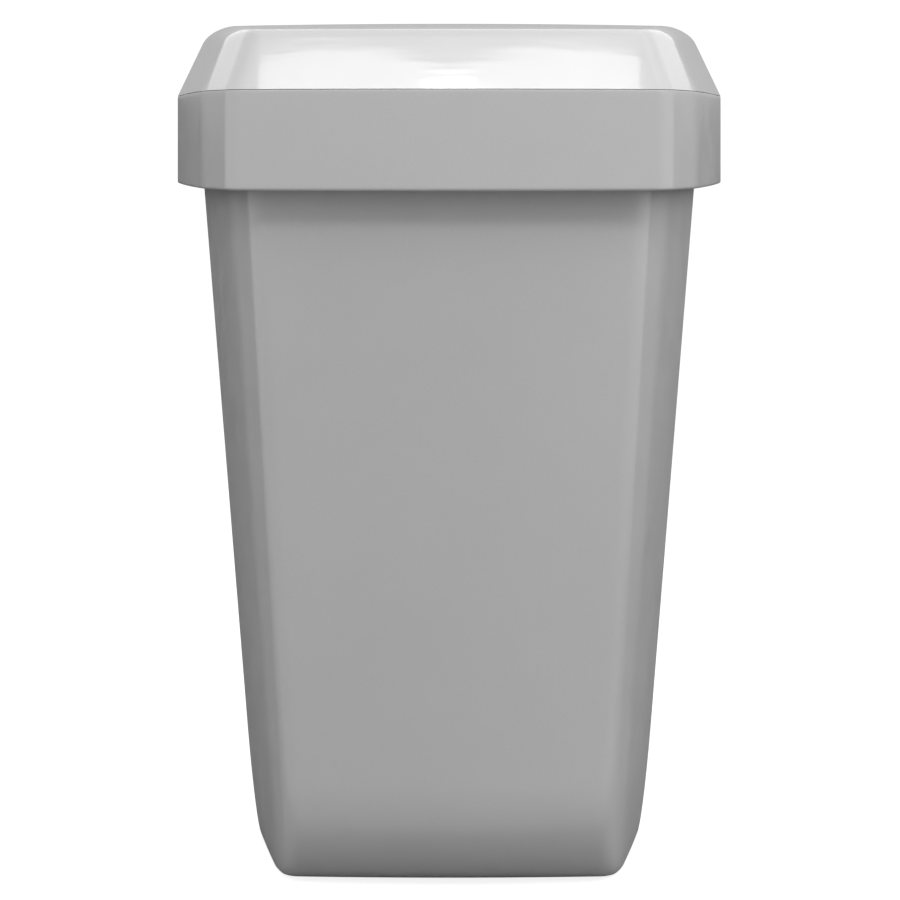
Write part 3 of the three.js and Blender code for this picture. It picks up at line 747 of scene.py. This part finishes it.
def make_collar():
    edge, rounding = COLLAR_EDGE_RADIUS, SHELF_ROUNDING
    face = (COLLAR_LOWER_EDGE + COLLAR_FACE_ABOVE_EDGE, COLLAR_TOP - COLLAR_FACE_BELOW_TOP)
    shelf_edge = SHELF_INNER_INSET - rounding
    profile = [
        (COLLAR_WALL, COLLAR_LOWER_EDGE + COLLAR_CHAMFER_HEIGHT),
        (COLLAR_WALL - COLLAR_CHAMFER_WIDTH, COLLAR_LOWER_EDGE),
        *arc((edge, COLLAR_LOWER_EDGE + edge), edge, -90, 0, 6),
        *[(0, height) for height in np.linspace(*face, COLLAR_FACE_RINGS)],
        *arc((COLLAR_TOP_ROUNDING, COLLAR_TOP - COLLAR_TOP_ROUNDING), COLLAR_TOP_ROUNDING, 0, 90, 4),
        (COLLAR_WALL, COLLAR_TOP),
        (COLLAR_WALL, SHELF_TOP),
        *arc((shelf_edge, SHELF_TOP - rounding), rounding, 90, 180, 3),
        *arc((shelf_edge, SHELF_BOTTOM + rounding), rounding, 180, 270, 3),
        (COLLAR_WALL, SHELF_BOTTOM),
    ]
    collar = new_object("collar_band", [loft(even_rings(profile), looped=True)])
    ear_middle = EAR_INNER + EAR_THICKNESS / 2
    notch_bottom = COLLAR_LOWER_EDGE - CUT_OVERRUN
    notch_top = AXIS_Z + BARREL_RADIUS + NOTCH_CLEARANCE
    notch_front, notch_back = BACK_EDGE - COLLAR_WALL - CUT_OVERRUN, BACK_EDGE + CUT_OVERRUN
    bore = rod(PIN_RADIUS + BORE_CLEARANCE, -EAR_OUTER - CUT_OVERRUN, EAR_OUTER + CUT_OVERRUN)
    ears, notches, bores = [], [], []
    for sign in SIGNS.values():
        x = sign * HINGE_HALF_SPACING
        ears += [slab(ear_shape(), EAR_THICKNESS, x + half * ear_middle) for half in (-1, 1)]
        low = (x - EAR_INNER, notch_front, notch_bottom)
        notches.append(block(low, (x + EAR_INNER, notch_back, notch_top)))
        bores.append(moved(bore, along_x(x, AXIS_Y, AXIS_Z)))
    combine(collar, ears, "UNION")
    combine(collar, notches, "DIFFERENCE")
    combine(collar, bores, "DIFFERENCE")
    return collar


collar = make_collar()
shade(collar)
add_piece(collar, collar_plastic, "hood", "collar_plastic", "collar")

# Lid


def crown_height(x, y):
    """The height of the slightly domed top above the collar's top edge."""
    behind_top = y - FRONT_EDGE - CROWN_TOP_FROM_FRONT
    across = x**2 / (2 * CROWN_RADIUS_SIDE_TO_SIDE)
    return LID_RISE - behind_top**2 / (2 * CROWN_RADIUS_FRONT_TO_BACK) - across


def dome_depth(x, y, height):
    """How deep points lie under the dome's surface. Heights count from the collar's top edge."""
    front, around = front_and_rear_depth(x, y, even(SLOPE_RATIO * height))
    square = math.cos(math.atan(SLOPE_RATIO))
    top = crown_height(x, y) - height
    return rounded_min(front * square, rounded_min(around * square, top, TOP_EDGE_RADIUS), CREASE_RADIUS)


def dome_surface(depth):
    """A function that gives the height above the floor of the surface at some depth below the skin."""
    def height_at(x, y):
        x, y = np.asarray(x, float), np.asarray(y, float)
        low, high = np.full_like(x, -SHELF_DEPTH), np.full_like(x, LID_RISE)
        return COLLAR_TOP + search(lambda height: dome_depth(x, y, height) > depth, low, high)
    return height_at


def dome_insets(start):
    """Insets from the lid's edge to the flat of its crown, close together over the bend."""
    slope_end = SLOPE_RATIO * LID_RISE
    before, past = slope_end - BEND_BEFORE_SLOPE_END, slope_end + BEND_PAST_SLOPE_END
    up = np.linspace(start, before, SLOPE_RINGS)
    over = np.linspace(before, past, BEND_RINGS)[1:]
    across = past + (CROWN_FLAT_INSET - past) * np.linspace(0, 1, CROWN_RINGS)[1:] ** 1.5
    return [*up, *over, *across]


def dome_rings(start, height_at):
    """Rings up the slope and over the crown, then ever smaller copies of the last one."""
    rings = [ring(even(inset), height_at) for inset in dome_insets(start)]
    last_x, last_y = rings[-1][:, 0], rings[-1][:, 1]
    for share in np.linspace(1, 0, CROWN_COPIES + 2)[1:-1]:
        x, y = last_x * share, last_y * share
        rings.append(np.column_stack([x, y, height_at(x, y)]))
    return rings


def places_round(directions, inset):
    """Places on an outline, in directions that count in degrees from the front, on both sides."""
    places = {}
    for row, degrees in enumerate(directions, 1):
        for side, sign in SIGNS.items():
            x, y = outline_points(np.radians([float(degrees)]) * sign, even(inset))
            places[f"{side}_{row}"] = (float(x[0]), float(y[0]))
    return places


def make_boss(x, y):
    """A post that takes one of the lid's screws. It ends within the lid's wall."""
    turns = np.linspace(0, 2 * np.pi, ROD_SIDES, endpoint=False)
    across, along = x + BOSS_RADIUS * np.cos(turns), y + BOSS_RADIUS * np.sin(turns)
    top = dome_surface(LID_WALL / 2)(across, along)
    base = SHELF_TOP + CLEARANCE
    lower = np.column_stack([across, along, np.full_like(across, base)])
    upper = np.column_stack([across, along, top])
    return loft([lower, upper], False, (x, y, base), (x, y, float(top.mean())))


def make_lid():
    tongue_outer = COLLAR_WALL + CLEARANCE
    tongue_inner = tongue_outer + LID_WALL
    tongue_end = SHELF_TOP + CLEARANCE
    edge_inset, edge_height = SLOPE_RATIO * SEAM, COLLAR_TOP + SEAM
    under, skin = dome_surface(LID_WALL), dome_surface(0)
    inside = dome_rings(tongue_inner, under)
    outside = dome_rings(edge_inset + LID_FACE_INSET, skin)
    edges = [(tongue_inner, tongue_end), (tongue_outer, tongue_end), (tongue_outer, edge_height)]
    edges += [(edge_inset + inwards, edge_height + onwards) for inwards, onwards in LID_EDGE_ROUNDING]
    rings = inside[::-1] + even_rings(edges) + outside
    shell = loft(rings, False, (0, 0, float(under(0, 0))), (0, 0, float(skin(0, 0))))
    bosses = [make_boss(x, y) for x, y in places_round(LID_SCREW_DIRECTIONS, BOSS_INSET).values()]
    return [shell, *bosses]


lid = new_object("lid_dome", make_lid())
shade(lid, sharp_degrees=40)
add_piece(lid, lid_plastic, "hood", "lid_plastic", "lid")


def make_lid_screw():
    """A pan-head screw drawn up the Z axis, with a cross recess in its head."""
    face = SHELF_BOTTOM - CLEARANCE
    head = face - LID_SCREW_HEAD_HEIGHT
    end = face + LID_SCREW_LENGTH
    profile = [
        (0, head),
        *edge_points(LID_SCREW_HEAD_RADIUS, head, SCREW_HEAD_ROUNDING),
        (LID_SCREW_HEAD_RADIUS, face),
        (LID_SCREW_RADIUS, face),
        (LID_SCREW_RADIUS, end - LID_SCREW_TIP),
        (0, end - CLEARANCE),
    ]
    screw = new_object("lid_screw_pattern", [turned(profile)])
    for reach_x, reach_y in ((RECESS_REACH, RECESS_HALF_WIDTH), (RECESS_HALF_WIDTH, RECESS_REACH)):
        low = (-reach_x, -reach_y, head - CUT_OVERRUN)
        combine(screw, [block(low, (reach_x, reach_y, head + RECESS_DEPTH))], "DIFFERENCE")
    shade(screw)
    return screw


def make_buffer(name, x, y):
    low, high = RIM_TOP + CLEARANCE, SHELF_BOTTOM - CLEARANCE
    profile = [
        (0, low),
        *edge_points(BUFFER_RADIUS, low, BUFFER_ROUNDING),
        (BUFFER_RADIUS, high),
        (BUFFER_STEM_RADIUS, high),
        (BUFFER_STEM_RADIUS, SHELF_TOP - BUFFER_STEM_DOME),
        (0, SHELF_TOP),
    ]
    stop = new_object(f"{name}_stop", [moved(turned(profile), Matrix.Translation((x, y, 0)))])
    shade(stop)
    add_piece(stop, rubber, "hood", "rubber", name)


screw_pattern = make_lid_screw()
for name, (x, y) in places_round(LID_SCREW_DIRECTIONS, BOSS_INSET).items():
    screw = placed_copy(f"lid_screw_{name}_turned", screw_pattern, Matrix.Translation((x, y, 0)))
    add_piece(screw, steel, "hood", "steel", f"lid_screw_{name}")
bpy.data.objects.remove(screw_pattern)

for name, (x, y) in places_round(BUFFER_DIRECTIONS, BUFFER_INSET).items():
    make_buffer(f"buffer_{name}", x, y)

# Hinges


def on_back_wall(x):
    """Turns a solid drawn up the Z axis to point out of the back wall at the bolts' height."""
    place = Matrix.Translation((x, BACK_EDGE - wall_inset(BOLT_Z), BOLT_Z))
    return place @ Matrix.Rotation(-math.pi / 2 - WALL_ANGLE, 4, "X")


def bracket_shapes():
    """Outlines of a bracket's plate, along the tub's wall, and of the arm that ends in its barrel."""
    top, bottom = AXIS_Z + PLATE_TOP_ABOVE_AXIS, AXIS_Z - PLATE_BOTTOM_BELOW_AXIS
    plate = [
        (plate_inner_y(bottom), bottom), (plate_outer_y(bottom), bottom),
        (plate_outer_y(top), top), (plate_inner_y(top), top),
    ]
    foot = AXIS_Z - ARM_DROP
    turns = np.radians(np.linspace(-90, 90, 17))
    arm = [(plate_outer_y(foot) - PLATE_THICKNESS / 2, foot)]
    arm += [(AXIS_Y + BARREL_RADIUS * math.cos(t), AXIS_Z + BARREL_RADIUS * math.sin(t)) for t in turns]
    arm += [(plate_outer_y(top) - PLATE_THICKNESS / 2, top)]
    return plate, arm


def make_bolt():
    """A round-headed bolt drawn with its head towards +Z, with a hexagon socket in it."""
    end = -(TUB_WALL + CLEARANCE + NUT_HEIGHT + BOLT_OVERRUN)
    top = BOLT_GRIP + BOLT_HEAD_HEIGHT
    profile = [
        (0, end),
        *edge_points(BOLT_RADIUS, end, SHANK_CHAMFER),
        (BOLT_RADIUS, BOLT_GRIP),
        *edge_points(BOLT_HEAD_RADIUS, BOLT_GRIP, BOLT_HEAD_ROUNDING),
        (0, top),
    ]
    bolt = new_object("bolt_pattern", [turned(profile)])
    socket = rod(SOCKET_RADIUS, top - RECESS_DEPTH, top + CUT_OVERRUN, SOCKET_SIDES)
    combine(bolt, [socket], "DIFFERENCE")
    shade(bolt)
    return bolt


def make_bracket(side, x):
    plate, arm = bracket_shapes()
    bracket = new_object(f"hinge_bracket_{side}_body", [slab(plate, PLATE_WIDTH, x)])
    combine(bracket, [slab(arm, BARREL_LENGTH, x)], "UNION")
    bevelled(bracket, BRACKET_BEVEL)
    shade(bracket, sharp_degrees=30)
    add_piece(bracket, bracket_plastic, "tub", "bracket_plastic", f"hinge_bracket_{side}")


def make_pin(side, outwards):
    """A hinge pin with its head towards the bin's outer side."""
    face = EAR_OUTER + CLEARANCE
    end = -face - CAP_THICKNESS
    profile = [
        (0, end),
        *edge_points(PIN_RADIUS, end, SHANK_CHAMFER),
        (PIN_RADIUS, face),
        *edge_points(PIN_HEAD_RADIUS, face, PIN_HEAD_ROUNDING),
        (0, face + PIN_HEAD_THICKNESS),
    ]
    pin = new_object(f"hinge_pin_{side}_turned", [moved(turned(profile), outwards)])
    shade(pin)
    add_piece(pin, steel, "tub", "steel", f"hinge_pin_{side}")


def make_pin_cap(side, outwards):
    """The push-on cap at the pin's inner end."""
    face = -EAR_OUTER - CLEARANCE
    end = face - CAP_THICKNESS
    inner, outer = PIN_RADIUS + CLEARANCE, PIN_HEAD_RADIUS
    profile = [
        (inner, face),
        (outer - CAP_EDGE_CHAMFER, face),
        (outer, face - CAP_EDGE_CHAMFER),
        (outer, end + CAP_END_CHAMFER),
        (outer - CAP_END_CHAMFER, end),
        (inner, end),
    ]
    cap = new_object(f"hinge_pin_cap_{side}_turned", [moved(tube(profile), outwards)])
    shade(cap)
    add_piece(cap, steel, "tub", "steel", f"hinge_pin_cap_{side}")


bolt_pattern = make_bolt()
for side, sign in SIGNS.items():
    x = sign * HINGE_HALF_SPACING
    outwards = along_x(x, AXIS_Y, AXIS_Z, sign)
    make_bracket(side, x)
    make_pin(side, outwards)
    make_pin_cap(side, outwards)
    for place_name, half in (("outer", 1), ("inner", -1)):
        name = f"{side}_{place_name}"
        out_of_wall = on_back_wall(sign * (HINGE_HALF_SPACING + half * BOLT_SPACING / 2))
        bolt = placed_copy(f"bracket_bolt_{name}_turned", bolt_pattern, out_of_wall)
        add_piece(bolt, steel, "tub", "steel", f"bracket_bolt_{name}")

        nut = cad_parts[f"bracket_nut_{name}"]
        nut.data.materials.clear()
        nut.data.materials.append(steel)
        bevelled(nut, NUT_BEVEL)
bpy.data.objects.remove(bolt_pattern)

# Bag ring


def make_bag_ring():
    seat = RIM_TOP + CLEARANCE
    top = seat + RING_THICKNESS
    bottom = RIM_TOP - RING_SKIRT_DEPTH

    def skirt(height):
        return wall_inset(height) + TUB_WALL + BAG_GAP

    wall, chamfer, rounding = RING_SKIRT_WALL, RING_SKIRT_CHAMFER, RING_ROUNDING
    profile = [
        (skirt(bottom) + chamfer, bottom),
        (skirt(bottom), bottom + chamfer),
        (skirt(RIM_TOP), seat),
        (RING_OUTER_INSET, seat),
        *arc((RING_OUTER_INSET + rounding, top - rounding), rounding, 0, 90, 4),
        *arc((RING_INNER_INSET - rounding, top - rounding), rounding, 90, 180, 4),
        (RING_INNER_INSET, seat),
        (skirt(RIM_TOP) + wall, seat),
        (skirt(bottom) + wall, bottom + chamfer),
        (skirt(bottom) + wall - chamfer, bottom),
    ]
    bag_ring = new_object("bag_ring_band", [loft(even_rings(profile), looped=True)])
    inner_x = edge_across(0, even(RING_INNER_INSET))
    half_width, half_length = TAB_SLOT_WIDTH / 2, TAB_SLOT_LENGTH / 2
    slot_low, slot_high = seat - CUT_OVERRUN, top + CUT_OVERRUN
    tabs, slots = [], []
    for sign in SIGNS.values():
        ends = sorted((sign * (inner_x - TAB_REACH), sign * (inner_x + RING_THICKNESS)))
        tabs.append(block((ends[0], -TAB_LENGTH / 2, seat), (ends[1], TAB_LENGTH / 2, top)))
        middle = sign * (inner_x - TAB_REACH / 2)
        low = (middle - half_width, -half_length, slot_low)
        slots.append(block(low, (middle + half_width, half_length, slot_high)))
    combine(bag_ring, tabs, "UNION")
    combine(bag_ring, slots, "DIFFERENCE")
    return bag_ring


bag_ring = make_bag_ring()
shade(bag_ring)
add_piece(bag_ring, ring_plastic, "bag_ring", "ring_plastic", "bag_ring")

# Floor and backdrop, one sheet that sweeps up behind the bin, in metres and shades from 0 to 1

BACKDROP_REACH = 6
BACKDROP_BEND_START = 2.6
BACKDROP_BEND_RADIUS = 0.8
BACKDROP_TOP = 4.5
NEAR_FLOOR_REACH = 0.5
FAR_FLOOR_REACH = 1.3
NEAR_FLOOR_GLOW = 0.84
FAR_FLOOR_GLOW = 1.0
NEAR_FLOOR_SHADE = 0.40
FAR_FLOOR_SHADE = 0.14
MAT_HEIGHT = 0.0005
MAT_FRONT = -0.12
FLAG_BEHIND = 0.42
FLAG_NEAR = 0.22
FLAG_FAR = 1.2
SIDE_FLAG_TOP = 0.575
TOP_FLAG_TOP = 0.72
SIDE_FLAG_GLOW = 0.02
TOP_FLAG_GLOW = 0.45


def background_rays(tree):
    """1 for the rays that show the background: the camera's, and those off gloss or through glass."""
    path = tree.nodes.new("ShaderNodeLightPath")
    seen = path.outputs["Is Camera Ray"]
    for kind in ("Is Glossy Ray", "Is Transmission Ray"):
        either = tree.nodes.new("ShaderNodeMath")
        either.operation = "MAXIMUM"
        tree.links.new(seen, either.inputs[0])
        tree.links.new(path.outputs[kind], either.inputs[1])
        seen = either.outputs[0]
    return seen


def backdrop_white():
    """White to the camera and to gloss, a little less round the bin, where its shadow shows."""
    nodes = Nodes("backdrop_white")
    place = nodes.add("ShaderNodeNewGeometry")
    far = nodes.add("ShaderNodeVectorMath", operation="LENGTH")
    nodes.join(place.outputs["Position"], far.inputs[0])
    reach = (NEAR_FLOOR_REACH, FAR_FLOOR_REACH)
    glow = nodes.spread(far.outputs["Value"], NEAR_FLOOR_GLOW, FAR_FLOOR_GLOW, *reach)
    shade_of_grey = nodes.spread(far.outputs["Value"], NEAR_FLOOR_SHADE, FAR_FLOOR_SHADE, *reach)
    nodes.join(shade_of_grey, nodes.shader.inputs["Base Color"])
    seen = nodes.add("ShaderNodeMath", operation="MULTIPLY")
    nodes.join(background_rays(nodes.tree), seen.inputs[0])
    nodes.join(glow, seen.inputs[1])
    nodes.join(seen.outputs[0], nodes.shader.inputs["Emission Strength"])
    nodes.shader.inputs["Emission Color"].default_value = (1, 1, 1, 1)
    nodes.shader.inputs["Roughness"].default_value = 0.9
    nodes.shader.inputs["Specular IOR Level"].default_value = 0.1
    return nodes.material


def make_sheet(name, points, faces, material):
    mesh = bpy.data.meshes.new(name)
    mesh.from_pydata(points, [], faces)
    for face in mesh.polygons:
        face.use_smooth = True
    mesh.materials.append(material)
    sheet = bpy.data.objects.new(name, mesh)
    bpy.context.scene.collection.objects.link(sheet)
    return sheet


def make_backdrop():
    start, radius = BACKDROP_BEND_START, BACKDROP_BEND_RADIUS
    turns = np.linspace(0, math.pi / 2, 17)
    bend = [(start + radius * math.sin(t), radius - radius * math.cos(t)) for t in turns]
    sweep = [(-BACKDROP_REACH, 0), *bend, (start + radius, BACKDROP_TOP)]
    points = [(x, y, z) for y, z in sweep for x in (-BACKDROP_REACH, BACKDROP_REACH)]
    faces = [(2 * i, 2 * i + 1, 2 * i + 3, 2 * i + 2) for i in range(len(sweep) - 1)]
    make_sheet("backdrop", points, faces, backdrop_white())


def make_flag(name, points, glow):
    """A sheet that only gloss sees, whose reflection is painted on the bin: dark at a low glow, grey at a
    higher one. The glow is its shade of grey.
    """
    nodes = Nodes(f"{name}_painted_reflection")
    nodes.shader.inputs["Base Color"].default_value = (0, 0, 0, 1)
    nodes.shader.inputs["Specular IOR Level"].default_value = 0
    nodes.shader.inputs["Emission Color"].default_value = (1, 1, 1, 1)
    nodes.shader.inputs["Emission Strength"].default_value = glow
    flag = make_sheet(name, points, [(0, 1, 2, 3)], nodes.material)
    flag.visible_camera = False
    flag.visible_diffuse = False
    flag.visible_shadow = False


def standing(left, right, low, high):
    """Corners of a flag that stands upright behind the bin."""
    return [(x, FLAG_BEHIND, z) for x, z in ((left, low), (right, low), (right, high), (left, high))]


def lying(half_width, front, back):
    """Corners of a sheet on the floor that only gloss sees, whose reflection paints dark shade along the
    bin's foot.
    """
    corners = ((-half_width, front), (half_width, front), (half_width, back), (-half_width, back))
    return [(x, y, MAT_HEIGHT) for x, y in corners]


make_backdrop()
# Sheets that only gloss sees: painted dark reflections along the bin's sides and foot, and a painted grey
# reflection along the lid's top edge
make_flag("flag_left", standing(-FLAG_FAR, -FLAG_NEAR, MAT_HEIGHT, SIDE_FLAG_TOP), SIDE_FLAG_GLOW)
make_flag("flag_right", standing(FLAG_NEAR, FLAG_FAR, MAT_HEIGHT, SIDE_FLAG_TOP), SIDE_FLAG_GLOW)
make_flag("flag_above", standing(-FLAG_FAR, FLAG_FAR, SIDE_FLAG_TOP, TOP_FLAG_TOP), TOP_FLAG_GLOW)
make_flag("flag_mat", lying(FLAG_FAR, MAT_FRONT, FLAG_BEHIND), SIDE_FLAG_GLOW)

# Lamps, world and camera, in metres and watts

WORLD_LIGHT = 0.04
CAMERA_HEIGHT = 0.53568
CAMERA_DISTANCE = 1.6415


def soft_lamp(name, direction, elevation, distance, aim, width, height, power, roll=0, in_gloss=False):
    """A soft box aimed at a height above the floor. Its direction counts from the front to the right."""
    data = bpy.data.lights.new(name, "AREA")
    data.shape = "RECTANGLE"
    data.size = width
    data.size_y = height
    data.energy = power
    lamp = bpy.data.objects.new(name, data)
    bpy.context.scene.collection.objects.link(lamp)
    turn, rise = math.radians(direction), math.radians(elevation)
    out = Vector((math.sin(turn) * math.cos(rise), -math.cos(turn) * math.cos(rise), math.sin(rise)))
    lamp.location = Vector((0, 0, aim)) + out * distance
    lamp.rotation_euler = out.to_track_quat("Z", "Y").to_euler()
    lamp.rotation_euler.rotate_axis("Z", math.radians(roll))
    lamp.visible_camera = False
    lamp.visible_glossy = in_gloss


for name, direction, power in (("key_right", 66, 30), ("key_left", -50, 21)):
    soft_lamp(name, direction, elevation=33, distance=2.0, aim=0.4, width=1.0, height=2.4, power=power)
for name, sign in SIGNS.items():
    soft_lamp(
        f"top_front_{name}", sign * 15, elevation=43.4, distance=2.0, aim=0.6,
        width=1.0, height=0.3, power=4.4, roll=sign * -4, in_gloss=True,
    )
soft_lamp("rear_fill", 180, elevation=45, distance=2.4, aim=0.4, width=1.6, height=1.0, power=30)

world = bpy.data.worlds.new("studio")
bpy.context.scene.world = world
world.use_nodes = True
background = world.node_tree.nodes["Background"]
background.inputs["Color"].default_value = (1, 1, 1, 1)
strength = world.node_tree.nodes.new("ShaderNodeMapRange")
strength.inputs["To Min"].default_value = WORLD_LIGHT
strength.inputs["To Max"].default_value = 1
world.node_tree.links.new(background_rays(world.node_tree), strength.inputs["Value"])
world.node_tree.links.new(strength.outputs["Result"], background.inputs["Strength"])

camera_data = bpy.data.cameras.new("camera")
camera_data.sensor_width = 36
camera_data.lens = 88
camera_data.shift_x = 0.0009
camera_data.shift_y = -0.3463
camera = bpy.data.objects.new("camera", camera_data)
bpy.context.scene.collection.objects.link(camera)
camera.location = (0, -CAMERA_DISTANCE, CAMERA_HEIGHT)
camera.rotation_euler = (math.pi / 2, 0, 0)
bpy.context.scene.camera = camera
bpy.context.scene.view_settings.view_transform = "Standard"
